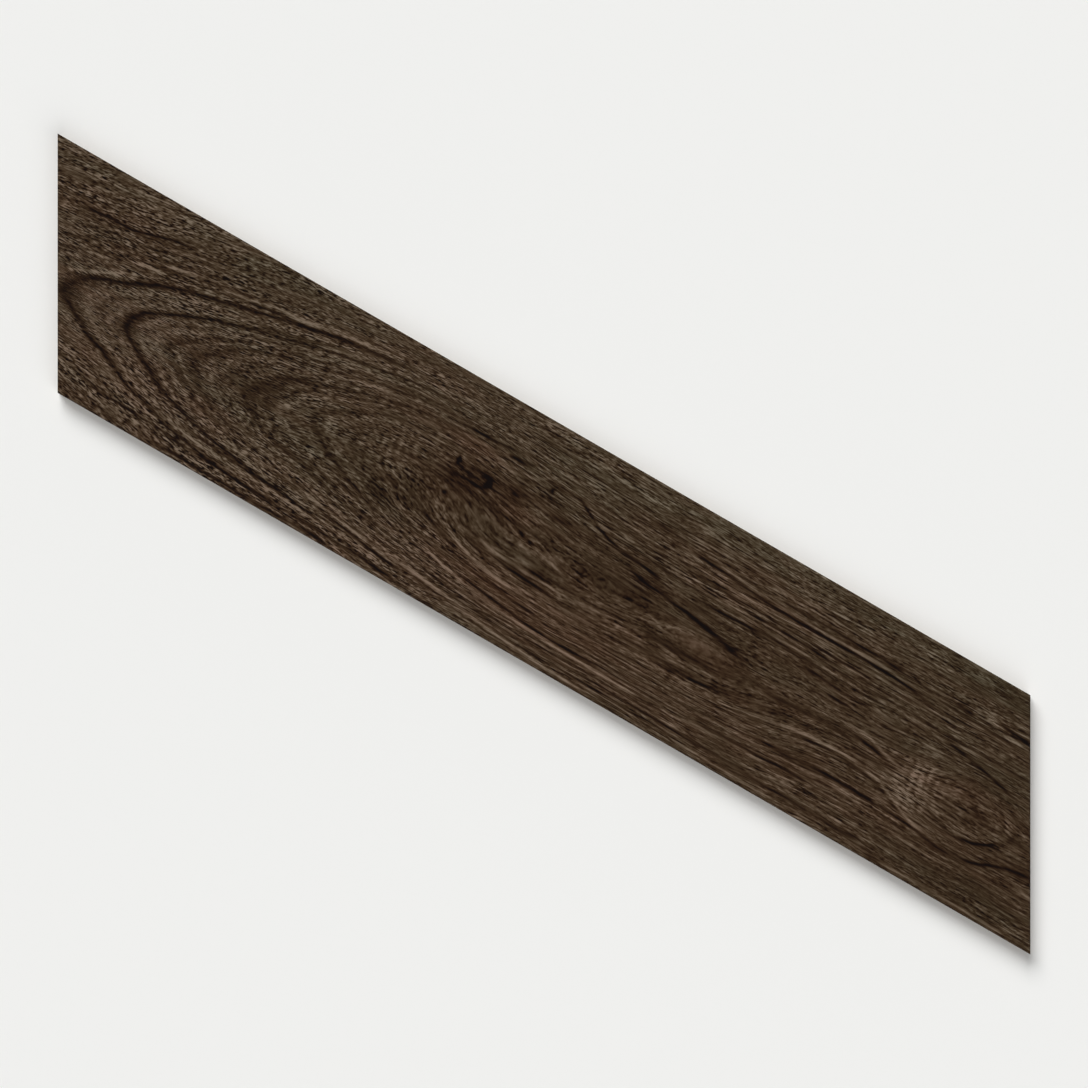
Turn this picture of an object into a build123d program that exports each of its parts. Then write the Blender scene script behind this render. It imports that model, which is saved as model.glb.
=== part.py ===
"""Chevron plank tile, right hand: one solid of pressed and fired porcelain.

The blank is pressed as a straight plank with a keying relief on its back. After firing it is
ground straight along both long sides, sawn at a slant at both ends, and bevelled round its face.

Millimetres. +Z points up out of the glazed face, +X runs along the plank, and the origin is the
centre of the back.
"""

import os
from math import ceil, radians, tan

from build123d import *

# The outline and the face
LONG_SIDE = 550.0  # each long side, from corner to corner
WIDTH = 110.0  # square across the two long sides
THICKNESS = 10.0  # from the back's ribs to the face
END_LEAN = 30.0  # degrees that each sawn end leans away from square
FACE_BEVEL = 0.8  # 45 degree bevel ground round the face

# The keying relief on the back: square cells between raised ribs
RELIEF_DEPTH = 0.8  # from the ribs down to a cell's floor
RIB = 3.0  # width of a rib between two cells
CELL = 14.0  # a cell's side, before it is fitted to the width
SIDE_BAND = 5.0  # plain band left along each long side
WALL_DRAFT = 30.0  # degrees that a cell's walls lean, so that the die lets go

# What follows from them
END_SHIFT = WIDTH * tan(radians(END_LEAN))  # how far a sawn end runs along the plank
BLANK_LENGTH = LONG_SIDE + END_SHIFT

RELIEF_WIDTH = WIDTH - 2 * SIDE_BAND
CELL_ROWS = max(1, round((RELIEF_WIDTH + RIB) / (CELL + RIB)))
CELL_SIDE = (RELIEF_WIDTH + RIB) / CELL_ROWS - RIB
CELL_PITCH = CELL_SIDE + RIB
CELL_COLUMNS = ceil(BLANK_LENGTH / CELL_PITCH) + 1  # the last ones run out through the ends


def pressed_blank():
    """The straight plank as it leaves the press, with the cells sunk into its back."""
    blank = Box(
        CELL_COLUMNS * CELL_PITCH,
        WIDTH,
        THICKNESS,
        align=(Align.CENTER, Align.CENTER, Align.MIN),
    )
    grid = GridLocations(CELL_PITCH, CELL_PITCH, CELL_COLUMNS, CELL_ROWS)
    mouths = Sketch() + grid * Rectangle(CELL_SIDE, CELL_SIDE)
    return blank - extrude(mouths, RELIEF_DEPTH, taper=WALL_DRAFT)


def saw_cut(end):
    """The plane of a sawn end, facing out of the tile: end is +1 or -1 along X."""
    middle = Vector(end * LONG_SIDE / 2, 0, 0)
    outward = Vector(end, 0, 0).rotate(Axis.Z, END_LEAN)
    return Plane(origin=middle, z_dir=outward)


def chevron_tile():
    """The blank sawn at both ends, then bevelled round the face."""
    tile = pressed_blank()
    for end in (1, -1):
        tile = split(tile, bisect_by=saw_cut(end), keep=Keep.BOTTOM)
    face = tile.faces().sort_by(Axis.Z)[-1]
    return chamfer(face.edges(), FACE_BEVEL)


os.makedirs("parts", exist_ok=True)
export_step(chevron_tile(), "parts/chevron_tile.step")
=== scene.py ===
"""The looks of a chevron plank tile: porcelain with a matte glaze, printed and embossed as dark oak.

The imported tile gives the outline, the sides and the back. Its flat face and its bevel are made
again here as a height field that carries the relief, and the print follows the same figure.
"""

from math import radians

import bmesh
import bpy
import numpy as np
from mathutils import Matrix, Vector


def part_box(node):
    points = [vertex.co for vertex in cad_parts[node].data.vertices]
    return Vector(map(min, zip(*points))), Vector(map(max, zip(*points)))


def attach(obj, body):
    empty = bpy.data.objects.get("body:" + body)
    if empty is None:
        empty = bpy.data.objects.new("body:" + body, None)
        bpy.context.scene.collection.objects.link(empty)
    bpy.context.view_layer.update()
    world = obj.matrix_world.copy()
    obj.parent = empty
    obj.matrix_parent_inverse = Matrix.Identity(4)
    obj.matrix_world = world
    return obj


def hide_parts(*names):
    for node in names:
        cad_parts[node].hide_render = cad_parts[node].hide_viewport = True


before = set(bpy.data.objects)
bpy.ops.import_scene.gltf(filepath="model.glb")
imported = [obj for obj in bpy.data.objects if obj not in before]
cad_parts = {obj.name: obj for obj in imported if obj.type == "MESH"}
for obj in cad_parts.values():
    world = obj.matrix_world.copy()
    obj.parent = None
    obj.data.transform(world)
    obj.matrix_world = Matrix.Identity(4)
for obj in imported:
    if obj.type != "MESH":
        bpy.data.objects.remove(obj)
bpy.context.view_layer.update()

MM = 0.001  # a millimetre in the scene's metres

# The wood figure, in millimetres from the tile's centre: X runs along the grain, Y across it
SEED = 7
NOISE_TABLE = 1024  # cells after which the noise repeats
MEAN_LIGHTNESS = 0.211  # of the whole face, as a share of white in sRGB

# How the grain runs: a pair of places is where a change begins and where it is complete
HEART_Y = -8.0  # the line that the arcs are nested about
ARC_END_X = -62.0  # where the arcs close on the knot
ARC_SLOPE = 0.225  # how much nearer a ring comes for each millimetre towards the knot
ARC_NOSE = 10.0  # length over which the arcs die out at the knot
NOSE_HALF = 30.0  # half width of the stretch at the arcs' noses where the fibres run level
LAYERS_X = (-130, 20)  # where level layers take over from the arcs
LAYERS_ROUND = 6.0  # how far the layers are rounded off at the heart
LAYERS_SHIFT = 11.0  # how far they are shifted towards the heart, to meet the arcs
SINK = 11.0  # how far the grain below the knot sinks to the right
SINK_Y = -26.0  # the middle of the stretch that sinks
SINK_HALF = 17.0  # its half width
SINK_X = (-130, 50)  # where it sinks
RISE_X = (90, 190)  # where it rises again

# Layers of noise: strength, cell length, cell width, number of the random table
GRAIN_SWAY = [(1.3, 62, 18, 0), (0.45, 24, 7, 1)]
HEART_SWAY = [(1.0, 30, 10, 2)]
RING_SWAY = [(0.5, 9, 4, 7)]
LINE_SWAY = [(0.5, 22, 9, 40)]
RIPPLE_SWAY = [(1.2, 8, 5, 70)]
KNOT_SWAY_X = [(1.6, 4, 3, 41)]
KNOT_SWAY_Y = [(1.2, 6, 2.5, 42)]
FIBRE_TONES = [(0.012, 70, 2.2, 10), (0.010, 40, 14, 12)]  # lightness that follows the fibres
STREAK_TONES = [(0.017, 36, 1.1, 11), (0.017, 14, 1.0, 20)]  # the same, as strong as the long fibres
BLOTCH_TONES = [(0.008, 18, 6, 13)]  # lightness that doesn't follow them
WARMTH_TONES = [(0.8, 90, 12, 50), (0.6, 12, 3, 51)]
GRIT_BUNCHES = [(0.38, 12, 3.0, 60), (0.35, 40, 2.0, 61)]
STREAK_BUNCHES = [(0.40, 60, 3.0, 62), (0.40, 25, 8.0, 63)]
BREAKS = [(1.0, 9, 1.2, 30)]

# Places where the knot draws the grain up: x, y, half length, half width, height
LIFTS = [
    (-85, 10, 60, 30, 10),
]

# Places that spread the grain apart, or draw it together: x, y, half length, half width, push
EYES = [
    (-235, -7, 45, 30, -7),
    (-30, 0, 60, 26, 11),
    (250, -10, 34, 15, 8),
    (44, -1, 26, 8, 3),
    (90, -6, 20, 5.5, 2.2),
]

# Growth rings that show on their own: distance from the heart, half width, strength
DARK_RINGS = [
    (45.2, 1.4, 1.1),
    (38.0, 1.6, 1.15),
    (32.0, 0.8, 0.8),
    (29.6, 0.8, 1.1),
    (22.3, 2.4, 0.9),
    (14.6, 1.4, 0.8),
    (9.7, 1.6, 0.8),
]
LIGHT_RINGS = [
    (47.6, 0.8, 1.0),
    (41.0, 1.6, 0.9),
    (34.4, 1.2, 1.0),
    (26.5, 2.2, 0.4),
    (18.3, 1.5, 0.6),
    (12.2, 1.2, 0.7),
]
DARK_RING = 0.052  # darkness of a ring of strength 1
LIGHT_RING = 0.050  # and lightness of one
RING_BAND = 0.4  # strength of the even band in a dark ring
RING_CORE = 0.9  # and of its broken core
CORE_WIDTH = 0.36  # the core's half width as a share of the ring's
RING_FADE = 0.7  # share of the rings that is lost to the right
RING_FADE_X = (-150, 0)  # where it is lost
BAND_Y = (33, 40)  # where the grey band begins on the upper side, as the grain runs
BAND_X = (-120, -40)  # where it begins along the grain
BREAK_LEAST = 0.45  # what a break leaves of a core or a line
BREAK_STEP = (-0.6, 0.5)  # the noise in a break, and where it is whole

# Patches of tone: x, y, half length, half width, lightness, warmth
PATCHES = [
    (-170, 51, 130, 10, 0.012, -0.5),
    (-250, 49, 50, 11, 0.026, 0.0),
    (50, 51, 140, 13, 0.020, -0.9),
    (230, 52, 70, 12, 0.000, -0.9),
    (-225, 9, 60, 26, -0.021, 0.3),
    (-163, -3, 12, 7, -0.048, -0.2),
    (-150, 23, 10, 5, -0.035, -0.2),
    (-86, 5, 13, 9, 0.028, 0.0),
    (-40, 7, 24, 11, -0.039, 0.8),
    (-52, 0, 34, 12, -0.014, 0.3),
    (-12, 20, 14, 6, -0.022, 0.3),
    (-52, 24.5, 16, 5, 0.005, 1.6),
    (-16, 6, 9, 4, 0.030, 1.6),
    (28, -4, 30, 9, -0.010, 0.5),
    (45, 3, 26, 4, -0.024, -0.1),
    (89, -5.5, 15, 4.5, 0.045, 1.6),
    (112, -4, 10, 9, -0.045, 0.2),
    (70, -14, 40, 4, -0.020, -0.2),
    (216, -12, 13, 13, 0.102, 0.2),
    (250, -9, 20, 12, -0.010, 0.6),
    (286, -22, 12, 8, -0.045, 0.3),
    (130, 13, 90, 14, -0.018, 0.7),
    (120, -40, 180, 14, 0.000, 0.6),
    (-100, -46, 70, 9, 0.000, -0.4),
    (0, -34, 65, 17, 0.000, 1.3),
    (-140, -10, 66, 24, 0.000, -0.9),
    (250, -48, 60, 10, -0.024, -0.6),
    (45, -49, 50, 8, -0.018, 0.0),
    (-215, -26, 50, 9, 0.006, 0.5),
    (-88, -21, 36, 9, -0.021, -0.4),
    (10, -20, 60, 8, 0.010, 0.6),
    (255, 44, 50, 14, -0.010, -0.8),
]

# Where short fibres stand out more or less: x, y, half length, half width, strength
GRIT_LEFT = 1.2
GRIT_RIGHT = 0.50
GRITS = [
    (-180, -48, 150, 14, 0.25),
    (-215, 20, 45, 14, 0.20),
    (-200, 51, 110, 9, -0.30),
    (-86, 5, 13, 9, 0.30),
    (-88, 32, 36, 16, -0.40),
    (89, -5.5, 16, 5, -0.35),
    (-56, 5, 44, 18, -0.45),
    (-98, -12, 28, 15, -0.25),
    (110, 52, 200, 16, 0.16),
    (217, -12, 11, 12, 0.50),
]

# Where long fibres stand out more or less: x, y, half length, half width, strength
STREAK_LEFT = 0.6
STREAK_RIGHT = 1.0
STREAKS = [
    (150, 25, 120, 9, 0.35),
    (-60, -46, 150, 12, 0.35),
    (90, -2, 90, 14, -0.30),
    (89, -5.5, 16, 5, -0.50),
    (216, -12, 14, 14, 0.40),
]
FIBRE_X = (-110, 30)  # where the fibres change from the left's to the right's
BUNCH_MEAN = 0.85  # mean strength of the fibres' bunches
FIBRE_LIMITS = (0.3, 1.6)  # least and most of what the lightness multiplies the fibres by

# Where the fine rings show more: x, y, half length, half width, strength
RING_PITCH = 3.0  # from one fine ring to the next
RING_LINES = [
    (-215, -4, 70, 26, 0.7),
    (-10, -32, 90, 15, 1.0),
    (-150, -46, 110, 9, 0.4),
    (-200, -34, 70, 10, 0.5),
    (-190, 32, 70, 10, 0.4),
    (0, -47, 60, 8, 0.4),
    (150, 24, 130, 10, 0.7),
    (150, -40, 170, 12, 0.6),
    (110, -18, 60, 8, 0.4),
]
FINE_LIGHT = (0.25, 0.16, 0.055)  # place and half width as shares of the pitch, lightness
FINE_DARK = (0.80, 0.14, -0.065)
FINE_STRAY = 0.3  # how far a fine ring strays, as a share of the pitch
FINE_STRAY_RUN = 1.7  # pitches over which it strays
FINE_RUN = 60.0  # length over which a fine ring's strength drifts
FINE_ROWS = 7  # rows of noise from one fine ring to the next, so that no two drift alike
FINE_LEAST = 0.4  # how far the fine rings show everywhere
FINE_BELOW_BAND = 0.4  # how much more below the grey band
FINE_FLANK = 0.4  # and how much more on the flanks of the arcs
FLANK_Y = (8, 22)  # distance from the heart where the flanks begin
FLANK_X = (-80, 20)  # where they end along the grain
SPREAD = (-5, -17, 85, 12)  # where the grain below the knot spreads: x, y, half length, half width
SPREAD_LOSS = 0.6  # share of the fine rings that is lost there
SPREAD_GAIN = 1.3  # strength of the rings at half the pitch that show there
FINE_TABLE = 5  # number of the fine rings' random table, with their drift in the one after it
SPREAD_TABLE = 15  # and of those at half the pitch

# Single lines of the figure: points along X, half width, lightness
LINES = [
    # The fan of lines at the upper left
    ([(-272, -3), (-266, 1.5), (-253, 7), (-243, 12.7), (-238, 15)], 0.8, 0.17),
    ([(-248, 18.2), (-236, 20.2), (-224, 21.6)], 0.8, 0.17),
    ([(-231, 24.4), (-220, 26.9), (-206, 28.8)], 0.8, 0.17),
    ([(-202, 29.4), (-186, 31), (-173, 34.2), (-157, 36), (-143, 38.4),
      (-125, 41), (-108, 43)], 0.8, 0.15),
    ([(-190, 28.5), (-173, 31.8), (-157, 34), (-143, 36.4), (-125, 39), (-100, 41.5)], 0.7, -0.12),
    ([(-284, 28.5), (-264, 31.8), (-250, 32.5), (-236, 36.7), (-215, 40.3)], 0.8, -0.11),
    ([(-288, 19.6), (-276, 20.6)], 0.8, 0.13),
    ([(-269, 11.8), (-260, 13.4), (-250, 15.2)], 0.7, 0.13),
    ([(-147, 28), (-131, 31.8), (-117, 35.6)], 0.7, 0.08),
    ([(-136, 19.5), (-124, 23.3), (-112, 24.7), (-93, 27)], 0.8, 0.07),
    ([(-178, 22), (-160, 26), (-140, 31), (-118, 34)], 0.8, -0.07),
    # The lower left
    ([(-240, -33), (-205, -38.5), (-160, -42.5), (-110, -45.5), (-60, -48)], 0.8, 0.09),
    ([(-238, -43), (-200, -45), (-150, -48), (-100, -50), (-50, -52)], 0.8, -0.10),
    ([(-244, -47), (-215, -48), (-180, -50.5)], 0.8, 0.08),
    ([(-190, -38), (-166, -39.8), (-140, -42.2), (-115, -44)], 0.7, -0.09),
    ([(-120, -35.5), (-85, -41), (-50, -44.5), (-20, -46.5)], 0.9, 0.13),
    ([(-110, -39.5), (-80, -44), (-50, -47)], 0.7, -0.10),
    ([(-196, -52), (-150, -53), (-90, -53.5)], 0.8, -0.10),
    # About the knot
    ([(-119, 8), (-114, -1), (-104, -9), (-90, -15)], 0.8, 0.05),
    ([(-69, 31.7), (-52, 31.6), (-40, 32.5), (-28, 33)], 0.75, -0.14),
    ([(-52, 33.8), (-38, 33.6), (-24, 34)], 0.6, 0.08),
    ([(-38, 29.4), (-27, 29.6), (-20, 30.5)], 0.75, -0.14),
    ([(-66, 28), (-46, 27), (-30, 23), (-19, 25.5), (-10, 31), (-2, 33)], 0.8, 0.08),
    ([(-80, -6), (-66, -12), (-54, -18), (-40, -23)], 1.2, -0.07),
    # The dark waves and what runs beside them
    ([(0, 30.4), (10, 25.4), (20, 20.4), (31, 17.2), (45, 15.4), (62, 12.4)], 0.75, -0.15),
    ([(-2, 28), (10, 22.6), (20, 18.2), (34, 15.2)], 0.6, 0.05),
    ([(38, 11.4), (49, 8.5), (67, 7.1), (85, 4.4), (99, 2.6), (110, 1.0)], 0.95, -0.13),
    ([(-6, 14.2), (9, 13.5)], 0.6, -0.11),
    ([(-24, 2.2), (-8, 1.4), (8, 0)], 0.55, -0.07),
    ([(64, 3.5), (84, 1.0), (98, -0.6)], 0.8, 0.04),
    # The fan of lines below the knot
    ([(-46, -18), (-32, -22.5), (-10, -26.5), (4, -27.5)], 0.7, 0.16),
    ([(-56, -29), (-32, -35), (-10, -38), (15, -40), (43, -41.5), (80, -42)], 0.7, 0.16),
    ([(-30, -33), (-8, -36.2), (20, -38.6), (58, -40)], 0.6, -0.13),
    ([(-30, -46.6), (-4, -49.2), (24, -52.4), (60, -53.5)], 0.7, 0.14),
    ([(-44, -12.5), (-20, -15.5), (8, -16.5), (40, -17)], 0.6, 0.09),
    ([(-36, -15.5), (-12, -18.8), (20, -20)], 0.6, -0.10),
    ([(-40, -25), (-14, -30), (20, -32.5)], 0.7, -0.11),
    ([(2, -22), (26, -22.6), (44, -22)], 0.6, 0.11),
    ([(42, -25.3), (58, -26)], 0.7, -0.14),
    ([(76, -22.8), (92, -21.5), (112, -20)], 0.7, -0.10),
    ([(60, -12), (84, -13), (106, -11.5)], 1.3, -0.06),
    ([(70, -47), (110, -47.5), (160, -48.5), (210, -49)], 0.8, -0.08),
    # The level lines at the upper right
    ([(40, 36.6), (58, 36.6)], 0.7, -0.11),
    ([(62, 33.6), (96, 30.8), (117, 29.7), (138, 29.4), (158, 29.9),
      (180, 29), (204, 27.4)], 0.7, -0.13),
    ([(72, 34.6), (96, 32.6), (117, 31.6), (138, 31), (160, 31.2), (184, 30.6)], 0.65, 0.12),
    ([(70, 28), (100, 26.4), (150, 26.2), (210, 24)], 0.6, 0.07),
    ([(64, 24.6), (110, 23.8), (170, 23.2)], 0.6, -0.07),
    ([(147, 24.7), (159, 24.2)], 0.7, 0.12),
    ([(98, 20.6), (130, 21.2), (156, 20)], 0.7, -0.11),
    ([(112, 34.4), (150, 34.2), (190, 33.2)], 0.7, -0.11),
    ([(202, 30.8), (230, 30.2), (256, 29.6)], 0.6, -0.09),
    ([(70, 19), (96, 18.2), (124, 17.4), (142, 17), (160, 14.6)], 0.65, 0.10),
    ([(80, 13.2), (96, 14.3), (117, 15.7), (148, 15.4)], 0.7, -0.09),
    ([(176, 11.5), (196, 10.1)], 0.7, 0.09),
    ([(206, 8.6), (224, 8.4)], 0.7, 0.09),
    ([(153, 5.8), (172, 5)], 0.8, -0.10),
    ([(212, 16.6), (232, 13.6), (250, 9.8), (268, 5)], 0.75, -0.10),
    ([(136, 12.8), (150, 11.4), (168, 10)], 0.6, -0.09),
    ([(212, 33.3), (226, 32.3)], 0.9, -0.09),
    ([(231, 35.8), (245, 34.6), (262, 32.8)], 0.8, -0.17),
    ([(244, 31.5), (254, 30.8)], 0.6, 0.10),
    # The arches beside the right-hand eye
    ([(164, -2.5), (186, -3), (194, -5.4), (205, -8.4), (212, -12)], 0.75, 0.12),
    ([(176, -5), (194, -7.4), (206, -10.4)], 0.7, -0.11),
    ([(120, -22.6), (138, -19.6), (155, -17.5), (174, -16.1), (189, -16.8), (200, -18.9),
      (208, -21.7), (214, -24.6), (224, -28.2), (240, -29.6)], 0.75, 0.13),
    ([(150, -19.6), (174, -18), (189, -18.6), (200, -20.8), (212, -25.4), (222, -29.4)], 0.75, -0.11),
    ([(126, -10), (150, -8), (172, -7.5), (186, -9.5)], 0.9, -0.06),
    ([(134, -29.4), (149, -30.2), (166, -28.9), (186, -28.8), (203, -28.8), (217, -29.6), (231, -31),
      (245, -31.8), (260, -30.2), (269, -26.8), (279, -24), (292, -23.6)], 0.9, -0.12),
    ([(244, -22.6), (255, -21.8), (263, -18.2), (270, -11.4)], 0.8, -0.11),
    ([(104, -39.6), (127, -38), (142, -37.2), (158, -36.5), (174, -37.2)], 0.75, -0.12),
    ([(88, -42), (112, -40), (130, -38.8), (150, -38.6)], 0.7, 0.11),
    ([(213, -38), (231, -38), (248, -38.4)], 0.65, 0.10),
    ([(178, -32.6), (202, -32.8)], 0.7, 0.11),
    ([(104, -35), (124, -33.6), (148, -32.6)], 0.7, 0.09),
    ([(94, -52.8), (130, -52.4), (164, -53)], 0.7, 0.10),
    ([(280, -29), (297, -32.6)], 0.8, 0.10),
    ([(215, -53.2), (250, -52.6), (295, -53.2)], 0.7, 0.08),
]
LINE_TAPER = 12.0  # length over which a line fades at each end, or a third of a short line
LINE_STRENGTH = 1.5  # makes up for what the breaks take from the lines
LINE_CALM = 0.6  # share of the fibres that a line hides

# Oval lines of the eyes and the knot: x, y, half length, half width, line's half width, lightness
OVALS = [
    (-43.5, 11.6, 5.0, 4.2, 1.3, -0.05),
    (247, -9, 24, 14, 0.9, -0.06),
    (249, -9, 18.5, 10.5, 0.9, 0.02),
    (250, -9, 14, 7.5, 0.8, -0.025),
    (250, -9, 7, 3.5, 0.9, -0.02),
    (44, 0, 21, 7.5, 0.8, -0.03),
    (46, -1, 13, 4.5, 0.8, -0.03),
]

# Ripples across the grain, beside the eye and the knot: x, y, half length, half width, lightness
RIPPLES = [
    (216, -12, 10, 12, 0.058),
    (-86, 5, 12, 9, 0.045),
]
RIPPLE_PITCH = 4.4
RIPPLE_LEAN = 0.25  # how far a ripple leans along the grain for each millimetre across it

# Black marks of the knots: x, y, half length, half width, lightness
KNOTS = [
    (-55.8, 15.2, 1.0, 2.7, -0.28),
    (-53.2, 13.0, 1.6, 1.0, -0.10),
    (-43.0, 7.8, 2.6, 0.8, -0.11),
    (-41.6, 15.0, 2.0, 1.1, -0.09),
    (-38.8, 11.6, 1.1, 3.0, -0.22),
    (-42.0, 11.4, 5.5, 4.2, -0.035),
    (-49.0, 12.0, 9.0, 5.0, -0.015),
    (-30.0, 14.0, 9.0, 4.0, -0.03),
    (-23.5, 14.6, 2.6, 1.0, -0.10),
    (-54.5, -1.4, 2.0, 1.2, -0.18),
    (-61, -4.6, 3.0, 0.9, -0.12),
    (-8.8, 25.1, 1.0, 1.5, -0.22),
    (107, 0.6, 4.5, 1.6, -0.08),
]
KNOT_CORE = 1.3  # height of a mark's bell before it is cut off flat at 1


def smooth(value, low, high):
    """A step from 0 at low to 1 at high along the cubic 3t2 - 2t3."""
    t = np.clip((value - low) / (high - low), 0, 1)
    return t * t * (3 - 2 * t)


def bell(off, half):
    """The curve exp(-t2), with t the distance from the middle in half widths."""
    return np.exp(-((off / half) ** 2))


def spot(x, y, middle_x, middle_y, half_x, half_y):
    """A bell along X times a bell across it."""
    return bell(x - middle_x, half_x) * bell(y - middle_y, half_y)


def spots(x, y, places):
    """The sum of spots, each as strong as the last value of its place."""
    return sum(strength * spot(x, y, *place) for *place, strength in places)


def noise(x, y, length, width, number):
    """Noise from -1 to 1: random values at the corners of cells, joined by a cubic step both ways."""
    column = np.floor(x / length).astype(int)
    row = np.floor(y / width).astype(int)
    right = smooth(x / length - column, 0, 1)
    up = smooth(y / width - row, 0, 1)
    table = np.random.default_rng([SEED, number]).uniform(-1, 1, (NOISE_TABLE, NOISE_TABLE))

    def corner(columns, rows):
        return table[(column + columns) % NOISE_TABLE, (row + rows) % NOISE_TABLE]

    low = corner(0, 0) * (1 - right) + corner(1, 0) * right
    high = corner(0, 1) * (1 - right) + corner(1, 1) * right
    return low * (1 - up) + high * up


def layered(x, y, layers):
    """The sum of layers of noise, each times its strength."""
    return sum(strength * noise(x, y, *cell) for strength, *cell in layers)


def grain_flow(x, y):
    """The height at which the grain through each point would run if no eye or knot moved it.

    An eye pushes by a spot times the distance from its middle, the knot lifts by a spot, and the
    grain below it sinks by a bell across the grain times a step down and a step up along it.
    """
    flow = y + layered(x, y, GRAIN_SWAY)
    for middle_x, middle_y, half_x, half_y, push in EYES:
        away = (y - middle_y) / half_y
        flow = flow - push * away * spot(x, y, middle_x, middle_y, half_x, half_y)
    sunk = bell(y - SINK_Y, SINK_HALF) * smooth(x, *SINK_X) * (1 - smooth(x, *RISE_X))
    return flow - spots(x, y, LIFTS) + SINK * sunk


def ring_depth(x):
    """How far the heart lies below the face: a ramp away from the knot, rounded at its foot."""
    return ARC_SLOPE * ARC_NOSE * np.logaddexp(0, (ARC_END_X - x) / ARC_NOSE)


def ring_distance(x, y, flow):
    """Distance from the heart: a cone cut by the face on the left, level layers on the right."""
    off = flow - HEART_Y
    cone = np.hypot(off, ring_depth(x) + layered(x, y, HEART_SWAY))
    layers = np.hypot(off, LAYERS_ROUND) - LAYERS_SHIFT
    share = smooth(x, *LAYERS_X)
    return cone * (1 - share) + layers * share


def fibre_across(x, flow):
    """Distance across the fibres: it follows the rings on the flanks and stays level at their noses."""
    off = flow - HEART_Y
    return off * np.sqrt(1 + ring_depth(x) ** 2 / (off**2 + NOSE_HALF**2))


def fibre_strengths(x, y, across):
    """Strength of the short and of the long fibres: a step along X plus spots, gathered in bunches."""
    right = smooth(x, *FIBRE_X)
    grit = GRIT_LEFT + (GRIT_RIGHT - GRIT_LEFT) * right + spots(x, y, GRITS)
    streak = STREAK_LEFT + (STREAK_RIGHT - STREAK_LEFT) * right + spots(x, y, STREAKS)
    grit = grit * (BUNCH_MEAN + layered(x, across, GRIT_BUNCHES))
    streak = streak * (BUNCH_MEAN + layered(x, across, STREAK_BUNCHES))
    return grit, streak


def strong_rings(x, y, rings, below_band, broken):
    """Lightness of the strong rings: a bell across each, and a narrow broken one in each dark ring."""
    ragged = rings + layered(x, y, RING_SWAY)
    tone = np.zeros_like(x)
    for middle, half, strength in DARK_RINGS:
        band = RING_BAND * bell(ragged - middle, half)
        core = RING_CORE * bell(ragged - middle, CORE_WIDTH * half)
        tone = tone - DARK_RING * strength * (band + core * broken)
    for middle, half, strength in LIGHT_RINGS:
        tone = tone + LIGHT_RING * strength * bell(ragged - middle, half)
    return tone * below_band * (1 - RING_FADE * smooth(x, *RING_FADE_X))


def ring_set(x, rings, pitch, number):
    """Rings of one pitch: a light and a dark bell in each, with a strength that drifts along X."""
    stray = FINE_STRAY * noise(rings, np.zeros_like(x), FINE_STRAY_RUN * pitch, 1, number)
    turn = rings / pitch + stray
    ring = np.floor(turn)
    row = ring * FINE_ROWS + 0.5  # halfway between two rows
    strength = (1 + noise(x, row, FINE_RUN, 1, number + 1)) / 2
    tone = np.zeros_like(x)
    for place, half, lighter in (FINE_LIGHT, FINE_DARK):
        tone = tone + lighter * bell(turn - ring - place, half)
    return strength * tone


def fine_rings(x, y, flow, rings, below_band):
    """Lightness of the fine rings, at half the pitch where the grain below the knot spreads."""
    flank = smooth(np.abs(flow - HEART_Y), *FLANK_Y) * (1 - smooth(x, *FLANK_X))
    shown = FINE_LEAST + FINE_BELOW_BAND * below_band + FINE_FLANK * flank + spots(x, y, RING_LINES)
    spread = spot(x, y, *SPREAD)
    whole = (1 - SPREAD_LOSS * spread) * ring_set(x, rings, RING_PITCH, FINE_TABLE)
    halved = SPREAD_GAIN * spread * ring_set(x, rings, RING_PITCH / 2, SPREAD_TABLE)
    return shown * (whole + halved)


def line_height(points, x):
    """The height of a line at x: cubic Hermite pieces through its points, with their mean slopes."""
    at, height = np.array(points, float).T
    slope = np.gradient(height, at)
    piece = np.clip(np.searchsorted(at, x) - 1, 0, len(at) - 2)
    step = at[piece + 1] - at[piece]
    t = np.clip((x - at[piece]) / step, 0, 1)
    start = (1 + 2 * t) * (1 - t) ** 2 * height[piece] + t * (1 - t) ** 2 * step * slope[piece]
    end = t**2 * (3 - 2 * t) * height[piece + 1] + t**2 * (t - 1) * step * slope[piece + 1]
    return start + end


def single_lines(x, wavy, broken):
    """Lightness of the single lines, a bell across each, and how far a line covers each point."""
    tone = np.zeros_like(x)
    cover = np.zeros_like(x)
    for points, half, lighter in LINES:
        begin = points[0][0]
        end = points[-1][0]
        taper = min(LINE_TAPER, (end - begin) / 3)
        inside = smooth(x, begin, begin + taper) * (1 - smooth(x, end - taper, end))
        line = bell(wavy - line_height(points, x), half) * inside
        tone = tone + LINE_STRENGTH * lighter * line * broken
        cover = np.maximum(cover, line)
    return tone, cover


def oval_lines(x, wavy, broken):
    """Lightness of the oval lines: a bell across each ellipse."""
    tone = np.zeros_like(x)
    for middle_x, middle_y, half_x, half_y, half, lighter in OVALS:
        reach = np.hypot((x - middle_x) / half_x, (wavy - middle_y) / half_y)
        tone = tone + lighter * bell((reach - 1) * half_y, half) * broken
    return tone


def ripples(x, y):
    """Lightness of the ripples: a cosine along a line that leans a little from X, shown in spots."""
    turn = (x + RIPPLE_LEAN * y + layered(x, y, RIPPLE_SWAY)) / RIPPLE_PITCH
    return np.cos(2 * np.pi * turn) * spots(x, y, RIPPLES)


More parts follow.
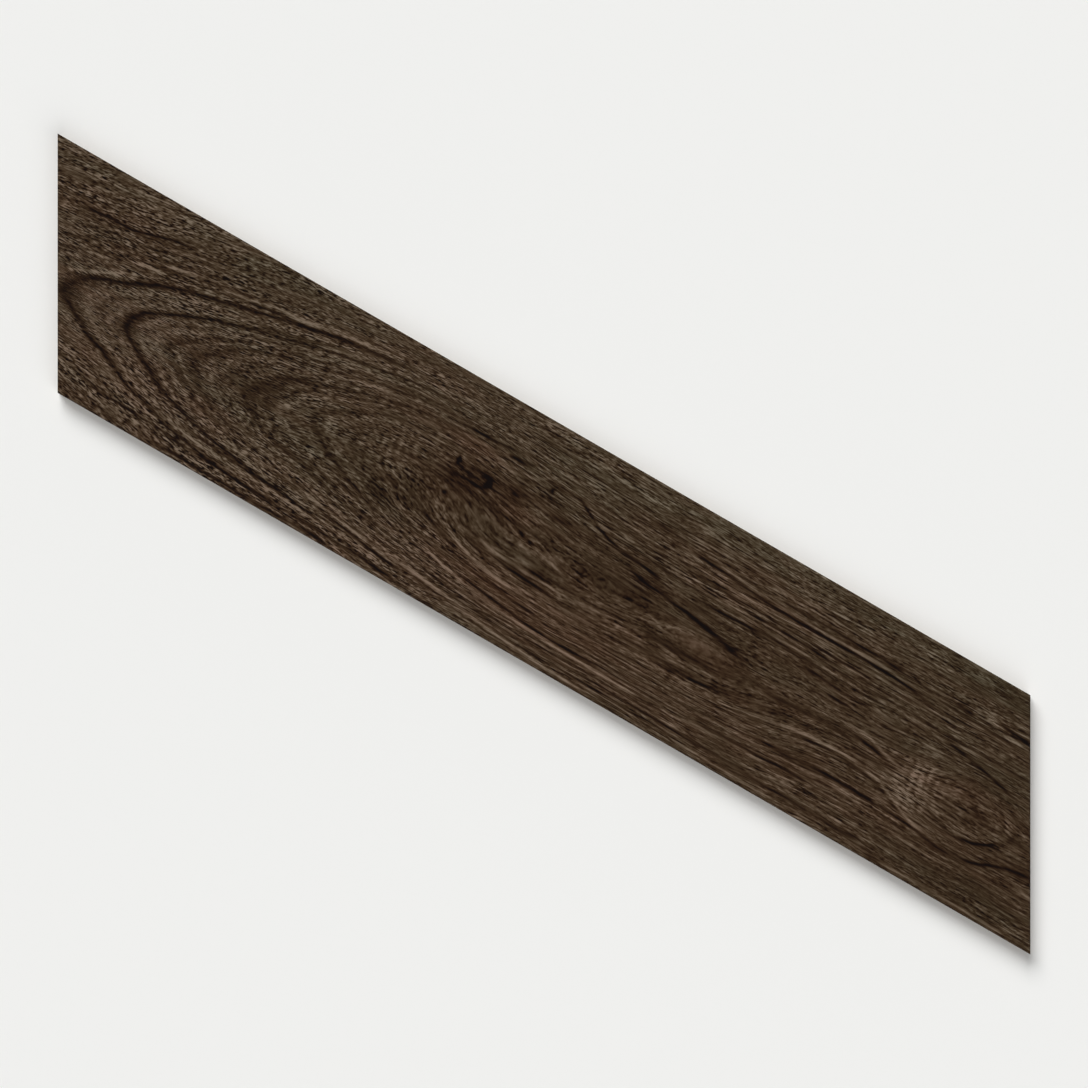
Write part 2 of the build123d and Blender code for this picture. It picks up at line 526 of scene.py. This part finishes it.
def knot_marks(x, y):
    """Lightness of the knots' marks: spots with ragged outlines, cut off flat in the middle."""
    ragged_x = x + layered(x, y, KNOT_SWAY_X)
    ragged_y = y + layered(x, y, KNOT_SWAY_Y)
    tone = np.zeros_like(x)
    for *place, lighter in KNOTS:
        tone = tone + lighter * np.minimum(1, KNOT_CORE * spot(ragged_x, ragged_y, *place))
    return tone


def wood_figure(x, y):
    """Lightness, warmth, strength of the short and of the long fibres, and distance across them.

    The lightness is the mean plus the lightness of each kind of mark.
    """
    flow = grain_flow(x, y)
    rings = ring_distance(x, y, flow)
    across = fibre_across(x, flow)
    grit, streak = fibre_strengths(x, y, across)
    below_band = 1 - smooth(flow, *BAND_Y) * smooth(x, *BAND_X)
    broken = BREAK_LEAST + (1 - BREAK_LEAST) * smooth(layered(x, across, BREAKS), *BREAK_STEP)
    wavy = y + layered(x, y, LINE_SWAY)

    lightness = MEAN_LIGHTNESS + spots(x, y, [(*place, lighter) for *place, lighter, _ in PATCHES])
    lightness = lightness + strong_rings(x, y, rings, below_band, broken)
    lightness = lightness + fine_rings(x, y, flow, rings, below_band)
    lightness = lightness + layered(x, across, FIBRE_TONES) + layered(x, y, BLOTCH_TONES)
    lightness = lightness + streak * layered(x, across, STREAK_TONES)
    lines, cover = single_lines(x, wavy, broken)
    lightness = lightness + lines + oval_lines(x, wavy, broken)
    lightness = lightness + ripples(x, y) + knot_marks(x, y)

    warmth = layered(x, across, WARMTH_TONES)
    warmth = warmth + spots(x, y, [(*place, warmer) for *place, _, warmer in PATCHES])

    # The fibres show less in dark wood and on the lines
    shown = np.clip(lightness / MEAN_LIGHTNESS, *FIBRE_LIMITS) * (1 - LINE_CALM * cover)
    return lightness, warmth, grit * shown, streak * shown, across


# The mesh
ALONG = 440  # cells of the face along the long sides
ACROSS = 210  # and across the width
RELIEF = 0.22 * MM  # depth of the darkest grooves below the face
RELIEF_LIGHT = 0.30  # lightness that is level with the face
RELIEF_DARK = 0.08  # lightness at the bottom of the grooves
RELIEF_MARGIN = 2.0 * MM  # the relief dies out over this along the bevel
WELD = 0.002 * MM  # points closer than this are one
LEVEL_DIGITS = 6  # decimals of a metre to which heights are told apart
CORNER_DIGITS = 7  # and corners
FACING_DOWN = -0.1  # Z of the normal below which a face belongs to the back
GROUND = 1  # the sides' place among the mesh's materials, after the face's
BACK = 2  # and the back's
FIGURE = ("lightness", "warmth", "grit", "streak", "across_mm")  # the figure's names in the mesh


def level_corners(points, height):
    """The four corners at a height: lower left, lower right, upper left, upper right."""
    level = points[np.abs(points[:, 2] - height) < WELD]
    corners = np.unique(np.round(level, CORNER_DIGITS), axis=0)
    order = np.lexsort((corners[:, 0], corners[:, 1]))
    return corners[order].reshape(2, 2, 3)


def patch_points(corners, along, across):
    """Points of the four-cornered patch: a straight blend along each side, then between the sides."""
    s = along[..., None]
    t = across[..., None]
    lower = corners[0, 0] * (1 - s) + corners[0, 1] * s
    upper = corners[1, 0] * (1 - s) + corners[1, 1] * s
    return lower * (1 - t) + upper * t


def face_mesh(face_corners, rim_corners):
    """The face and its bevel: a grid sunk by the relief, with a strip from its border down to the rim."""
    s, t = np.meshgrid(np.linspace(0, 1, ALONG + 1), np.linspace(0, 1, ACROSS + 1))
    face = patch_points(face_corners, s, t)
    lightness = wood_figure(face[..., 0] / MM, face[..., 1] / MM)[0]
    length = np.linalg.norm(face_corners[0, 1] - face_corners[0, 0])
    width = face_corners[1, 0, 1] - face_corners[0, 0, 1]
    inset = np.minimum(np.minimum(s, 1 - s) * length, np.minimum(t, 1 - t) * width)
    sunk = np.clip((RELIEF_LIGHT - lightness) / (RELIEF_LIGHT - RELIEF_DARK), 0, 1)
    face[..., 2] -= RELIEF * sunk * smooth(inset, 0, RELIEF_MARGIN)

    number = np.arange(s.size).reshape(s.shape)
    corners = [number[:-1, :-1], number[:-1, 1:], number[1:, 1:], number[1:, :-1]]
    cells = np.stack(corners, -1).reshape(-1, 4)

    def border(grid):
        return np.concatenate([grid[0, :-1], grid[:-1, -1], grid[-1, :0:-1], grid[:0:-1, 0]])

    rim = patch_points(rim_corners, border(s), border(t))
    inner = border(number)
    outer = s.size + np.arange(len(inner))
    strip = np.stack([outer, np.roll(outer, -1), np.roll(inner, -1), inner], -1)

    mesh = bpy.data.meshes.new("face")
    points = np.concatenate([face.reshape(-1, 3), rim])
    mesh.from_pydata(points, [], np.concatenate([cells, strip]))
    mesh.polygons.foreach_set("use_smooth", np.arange(len(mesh.polygons)) < len(cells))
    return mesh


def mesh_points(mesh):
    """The mesh's points as rows of X, Y and Z."""
    points = np.empty(len(mesh.vertices) * 3)
    mesh.vertices.foreach_get("co", points)
    return points.reshape(-1, 3)


def tile_mesh(packed):
    """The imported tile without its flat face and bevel, welded to the embossed face along the rim."""
    points = mesh_points(packed)
    *_, rim, top = np.unique(np.round(points[:, 2], LEVEL_DIGITS))

    shell = bmesh.new()
    shell.from_mesh(packed)
    bmesh.ops.remove_doubles(shell, verts=shell.verts, dist=WELD)
    above = [f for f in shell.faces if f.calc_center_median().z > rim + WELD]
    bmesh.ops.delete(shell, geom=above, context="FACES")
    for side in [e for e in shell.edges if e.is_boundary]:
        run = side.verts[1].co - side.verts[0].co
        cells = ALONG if abs(run.y) < WELD else ACROSS
        bmesh.ops.subdivide_edges(shell, edges=[side], cuts=cells - 1)
    for f in shell.faces:
        f.smooth = False
        f.material_index = BACK if f.normal.z < FACING_DOWN else GROUND

    shell.from_mesh(face_mesh(level_corners(points, top), level_corners(points, rim)))
    bmesh.ops.remove_doubles(shell, verts=shell.verts, dist=WELD)
    mesh = bpy.data.meshes.new("chevron_tile_embossed")
    shell.to_mesh(mesh)
    shell.free()
    return mesh


def write_figure(mesh):
    """Stores the figure at each point, for the glaze to draw."""
    x, y, _ = mesh_points(mesh).T / MM
    for name, values in zip(FIGURE, wood_figure(x, y)):
        layer = mesh.attributes.new(name, "FLOAT", "POINT")
        layer.data.foreach_set("value", values.astype(np.float32))


# The materials


def linear(code):
    """A colour written as sRGB hex, turned to linear light by the sRGB curve, with an alpha of 1."""
    shares = [int(code[i : i + 2], 16) / 255 for i in (1, 3, 5)]
    return [c / 12.92 if c <= 0.04045 else ((c + 0.055) / 1.055) ** 2.4 for c in shares] + [1.0]


def add(tree, kind, inputs=(), stops=(), **settings):
    """Adds a node, with values or links for its inputs, a ramp's stops, and its own settings."""
    node = tree.nodes.new(kind)
    for name, value in settings.items():
        setattr(node, name, value)
    for name, value in inputs:
        if isinstance(value, bpy.types.NodeSocket):
            tree.links.new(value, node.inputs[name])
        else:
            node.inputs[name].default_value = value
    if stops:
        elements = node.color_ramp.elements
        while len(elements) < len(stops):
            elements.new(1.0)
        for element, (place, colour) in zip(elements, stops):
            element.position = place
            element.color = colour
    return node


def new_material(name):
    """An empty material and its shader."""
    material = bpy.data.materials.new(name)
    material.use_nodes = True
    return material, material.node_tree.nodes["Principled BSDF"]


def place_in_mm(tree):
    """The tile's own coordinates in millimetres."""
    place = add(tree, "ShaderNodeTexCoord").outputs["Object"]
    scaled = add(tree, "ShaderNodeVectorMath", [(0, place), ("Scale", 1 / MM)], operation="SCALE")
    return scaled.outputs["Vector"]


# Matte printed glaze: inks fired into a dull glaze, so the wood shows and nothing mirrors in it
PRINT_STOPS = [  # the print's colour at each lightness
    (0.055, "#080100"),
    (0.086, "#160600"),
    (0.141, "#2B1B0C"),
    (0.204, "#3C2D1D"),
    (0.267, "#4D3E2F"),
    (0.361, "#675849"),
    (0.431, "#79695A"),
]
WARMTH_LIMIT = 4.0  # warmth at which the print is multiplied by the whole of a tint
COLD_TINT = (0.78, 1.045, 1.03, 1.0)  # factors of red, green and blue, in linear light
WARM_TINT = (1.22, 0.955, 0.94, 1.0)
# Fibres in millimetres: length, width, then strength, drawn coarser than oak's own so that they show
LONG_FIBRES = (15.0, 0.90, 0.44)
SHORT_FIBRES = (3.6, 0.60, 0.67)
FIBRE_SWING = 0.15  # lightness that a strong fibre takes away or adds
FIBRE_RELIEF = 0.2  # millimetres of relief for a lightness of 1
DARK_FIBRE_ROUGHNESS = 0.84
LIGHT_FIBRE_ROUGHNESS = 0.70
GLAZE_IOR = 1.45
GLAZE_SPECULAR = 0.12  # less than the usual 0.5, because a matte glaze scatters most of its shine


def fibre_tone(tree, fibre, length, width, strength):
    """Noise stretched along the fibres, about 0 and times its strength."""
    cell = (1 / length, 1 / width, 0)
    cells = add(tree, "ShaderNodeVectorMath", [(0, fibre), (1, cell)], operation="MULTIPLY")
    texture = add(
        tree,
        "ShaderNodeTexNoise",
        [
            ("Vector", cells.outputs["Vector"]),
            ("Scale", 1.0),
            ("Detail", 1.0),
            ("Roughness", 0.6),
            ("Distortion", 0.25),
        ],
        noise_dimensions="2D",
    )
    centred = [(0, texture.outputs["Fac"]), (1, strength), (2, -strength / 2)]
    return add(tree, "ShaderNodeMath", centred, operation="MULTIPLY_ADD").outputs["Value"]


def printed_glaze():
    """The face: the figure's lightness and fibres choose the colour, and its warmth tints it."""
    material, shader = new_material("matte_printed_glaze")
    tree = material.node_tree
    lightness, warmth, grit, streak, across = [
        add(tree, "ShaderNodeAttribute", attribute_name=name).outputs["Fac"] for name in FIGURE
    ]
    along = add(tree, "ShaderNodeSeparateXYZ", [("Vector", place_in_mm(tree))]).outputs["X"]
    fibre = add(tree, "ShaderNodeCombineXYZ", [("X", along), ("Y", across)]).outputs["Vector"]

    long_fibres = add(
        tree,
        "ShaderNodeMath",
        [(0, fibre_tone(tree, fibre, *LONG_FIBRES)), (1, streak)],
        operation="MULTIPLY",
    ).outputs["Value"]
    fibres = add(
        tree,
        "ShaderNodeMath",
        [(0, fibre_tone(tree, fibre, *SHORT_FIBRES)), (1, grit), (2, long_fibres)],
        operation="MULTIPLY_ADD",
    ).outputs["Value"]
    tone = add(tree, "ShaderNodeMath", [(0, fibres), (1, lightness)], operation="ADD").outputs["Value"]
    colour_stops = [(place, linear(code)) for place, code in PRINT_STOPS]
    colour = add(tree, "ShaderNodeValToRGB", [("Fac", tone)], colour_stops).outputs["Color"]

    warm_share = add(
        tree,
        "ShaderNodeMapRange",
        [("Value", warmth), ("From Min", -WARMTH_LIMIT), ("From Max", WARMTH_LIMIT)],
    ).outputs["Result"]
    tint_stops = [(0.0, COLD_TINT), (1.0, WARM_TINT)]
    tint = add(tree, "ShaderNodeValToRGB", [("Fac", warm_share)], tint_stops).outputs["Color"]
    tinted = add(
        tree,
        "ShaderNodeMix",
        [("Factor", 1.0), (6, colour), (7, tint)],  # 6 and 7 are its two colours
        data_type="RGBA",
        blend_type="MULTIPLY",
        clamp_factor=True,
    ).outputs[2]
    tree.links.new(tinted, shader.inputs["Base Color"])

    rough = add(
        tree,
        "ShaderNodeMapRange",
        [
            ("Value", fibres),
            ("From Min", -FIBRE_SWING),
            ("From Max", FIBRE_SWING),
            ("To Min", DARK_FIBRE_ROUGHNESS),
            ("To Max", LIGHT_FIBRE_ROUGHNESS),
        ],
    ).outputs["Result"]
    tree.links.new(rough, shader.inputs["Roughness"])
    relief = [("Strength", 0.6), ("Distance", FIBRE_RELIEF * MM), ("Height", fibres)]
    tree.links.new(add(tree, "ShaderNodeBump", relief).outputs["Normal"], shader.inputs["Normal"])
    shader.inputs["IOR"].default_value = GLAZE_IOR
    shader.inputs["Specular IOR Level"].default_value = GLAZE_SPECULAR
    return material


# Fired porcelain in millimetres: a dull body, its grains and marks drawn coarser than real, to show
SPECKLE = 0.7  # size of the grains
CLOUD = 26.0  # size of the clouds in its colour
CLOUD_STRENGTH = 0.7  # beside a speckle of strength 1
DARKEST, PALEST = 0.55, 1.15  # sums of the two at the ends of the colours
MARK_LOW, MARK_HIGH = 0.3, 0.7  # heights of the marks at the ends of the roughness
LOW_ROUGHNESS = 0.62
HIGH_ROUGHNESS = 0.82
PORCELAIN_IOR = 1.5


def porcelain_body(name, pale, dark, mark_size, mark_depth):
    """Fired porcelain: speckle and clouds mix two colours, and stretched noise makes the marks."""
    material, shader = new_material(name)
    tree = material.node_tree
    place = place_in_mm(tree)
    speckle_size = [("Vector", place), ("Scale", 1 / SPECKLE), ("Detail", 3.0)]
    speckle = add(tree, "ShaderNodeTexNoise", speckle_size).outputs["Fac"]
    cloud_size = [("Vector", place), ("Scale", 1 / CLOUD), ("Detail", 2.0)]
    cloud = add(tree, "ShaderNodeTexNoise", cloud_size).outputs["Fac"]
    mixed = add(
        tree,
        "ShaderNodeMath",
        [(0, cloud), (1, CLOUD_STRENGTH), (2, speckle)],
        operation="MULTIPLY_ADD",
    ).outputs["Value"]
    share = add(
        tree,
        "ShaderNodeMapRange",
        [("Value", mixed), ("From Min", DARKEST), ("From Max", PALEST)],
    ).outputs["Result"]
    colour_stops = [(0.0, linear(dark)), (1.0, linear(pale))]
    colour = add(tree, "ShaderNodeValToRGB", [("Fac", share)], colour_stops).outputs["Color"]
    tree.links.new(colour, shader.inputs["Base Color"])

    cell = tuple(1 / size for size in mark_size)
    cells = add(tree, "ShaderNodeVectorMath", [(0, place), (1, cell)], operation="MULTIPLY")
    mark_noise = [("Vector", cells.outputs["Vector"]), ("Scale", 1.0), ("Detail", 2.0)]
    marks = add(tree, "ShaderNodeTexNoise", mark_noise).outputs["Fac"]
    relief = [("Strength", 0.7), ("Distance", mark_depth * MM), ("Height", marks)]
    tree.links.new(add(tree, "ShaderNodeBump", relief).outputs["Normal"], shader.inputs["Normal"])
    rough = add(
        tree,
        "ShaderNodeMapRange",
        [
            ("Value", marks),
            ("From Min", MARK_LOW),
            ("From Max", MARK_HIGH),
            ("To Min", LOW_ROUGHNESS),
            ("To Max", HIGH_ROUGHNESS),
        ],
    ).outputs["Result"]
    tree.links.new(rough, shader.inputs["Roughness"])
    shader.inputs["IOR"].default_value = PORCELAIN_IOR
    return material


def ground_porcelain():
    """The sides and ends: the wheel and the saw leave fine level scratches, so the body looks dull."""
    return porcelain_body(
        "ground_porcelain",
        pale="#8C7D6C",
        dark="#6E6053",
        mark_size=(6.0, 6.0, 0.25),
        mark_depth=0.03,
    )


def fired_porcelain_back():
    """The back: bare, as the press and the kiln leave it, so it looks evenly pitted and a bit paler."""
    return porcelain_body(
        "fired_porcelain_back",
        pale="#96897A",
        dark="#776A5C",
        mark_size=(0.9, 0.9, 0.9),
        mark_depth=0.08,
    )


# The tile
mesh = tile_mesh(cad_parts["chevron_tile"].data)
write_figure(mesh)
for material in (printed_glaze(), ground_porcelain(), fired_porcelain_back()):
    mesh.materials.append(material)
tile = bpy.data.objects.new("embossed_tile", mesh)
bpy.context.collection.objects.link(tile)
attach(tile, "root")
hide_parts("chevron_tile")

# The floor, the light and the camera
FLOOR_HALF = 20.0  # metres from the middle of the floor to its sides
FLOOR_CORNERS = [(-1, -1), (1, -1), (1, 1), (-1, 1)]
FLOOR_COLOUR = "#F5F5F3"
FRAME_WIDTH = 0.5326  # metres across the picture at the face
LENS = 200.0  # millimetres, as the sensor
SENSOR = 36.0
GRAIN_TURN = 30.0  # degrees by which the long sides slope in the picture
# The studio's walls: how far up a direction points, and the colour there
WALL_STOPS = [(0.05, "#F0F0EE"), (0.20, "#6E6E6E"), (0.60, "#585858")]

floor_mesh = bpy.data.meshes.new("floor")
floor_points = [(a * FLOOR_HALF, b * FLOOR_HALF, 0.0) for a, b in FLOOR_CORNERS]
floor_mesh.from_pydata(floor_points, [], [(0, 1, 2, 3)])
floor = bpy.data.objects.new("floor", floor_mesh)
bpy.context.collection.objects.link(floor)
# White painted floor: dead matte, so that the tile's shadow is all that shows on it
floor_material, floor_shader = new_material("white_painted_floor")
floor_shader.inputs["Base Color"].default_value = linear(FLOOR_COLOUR)
floor_shader.inputs["Roughness"].default_value = 0.9
floor_shader.inputs["Specular IOR Level"].default_value = 0.0
floor_mesh.materials.append(floor_material)

world = bpy.data.worlds.new("studio")
bpy.context.scene.world = world
world.use_nodes = True
sky = world.node_tree
direction = add(sky, "ShaderNodeTexCoord").outputs["Generated"]
height = add(sky, "ShaderNodeSeparateXYZ", [("Vector", direction)]).outputs["Z"]
wall_stops = [(place, linear(code)) for place, code in WALL_STOPS]
walls = add(sky, "ShaderNodeValToRGB", [("Fac", height)], wall_stops).outputs["Color"]
sky.links.new(walls, sky.nodes["Background"].inputs["Color"])
sky.nodes["Background"].inputs["Strength"].default_value = 1.0


def soft_sun(name, place, spread, strength):
    """Even light from the direction of a place, spread over an angle in degrees by a large screen."""
    lamp = bpy.data.lights.new(name, "SUN")
    lamp.angle = radians(spread)
    lamp.energy = strength
    holder = bpy.data.objects.new(name, lamp)
    holder.location = place
    holder.rotation_euler = (-Vector(place)).to_track_quat("-Z", "Y").to_euler()
    bpy.context.collection.objects.link(holder)


soft_sun("key", place=(-1.9, 1.5, 2.2), spread=40.0, strength=2.8)
soft_sun("fill", place=(2.0, -1.4, 2.2), spread=60.0, strength=1.1)

camera = bpy.data.cameras.new("camera")
camera.lens = LENS
camera.sensor_width = SENSOR
eye = bpy.data.objects.new("camera", camera)
face_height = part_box("chevron_tile")[1][2]
eye.location = (0.0, 0.0, face_height + FRAME_WIDTH * LENS / SENSOR)
eye.rotation_euler = (0.0, 0.0, radians(GRAIN_TURN))
bpy.context.collection.objects.link(eye)
bpy.context.scene.camera = eye
bpy.context.scene.view_settings.view_transform = "Standard"
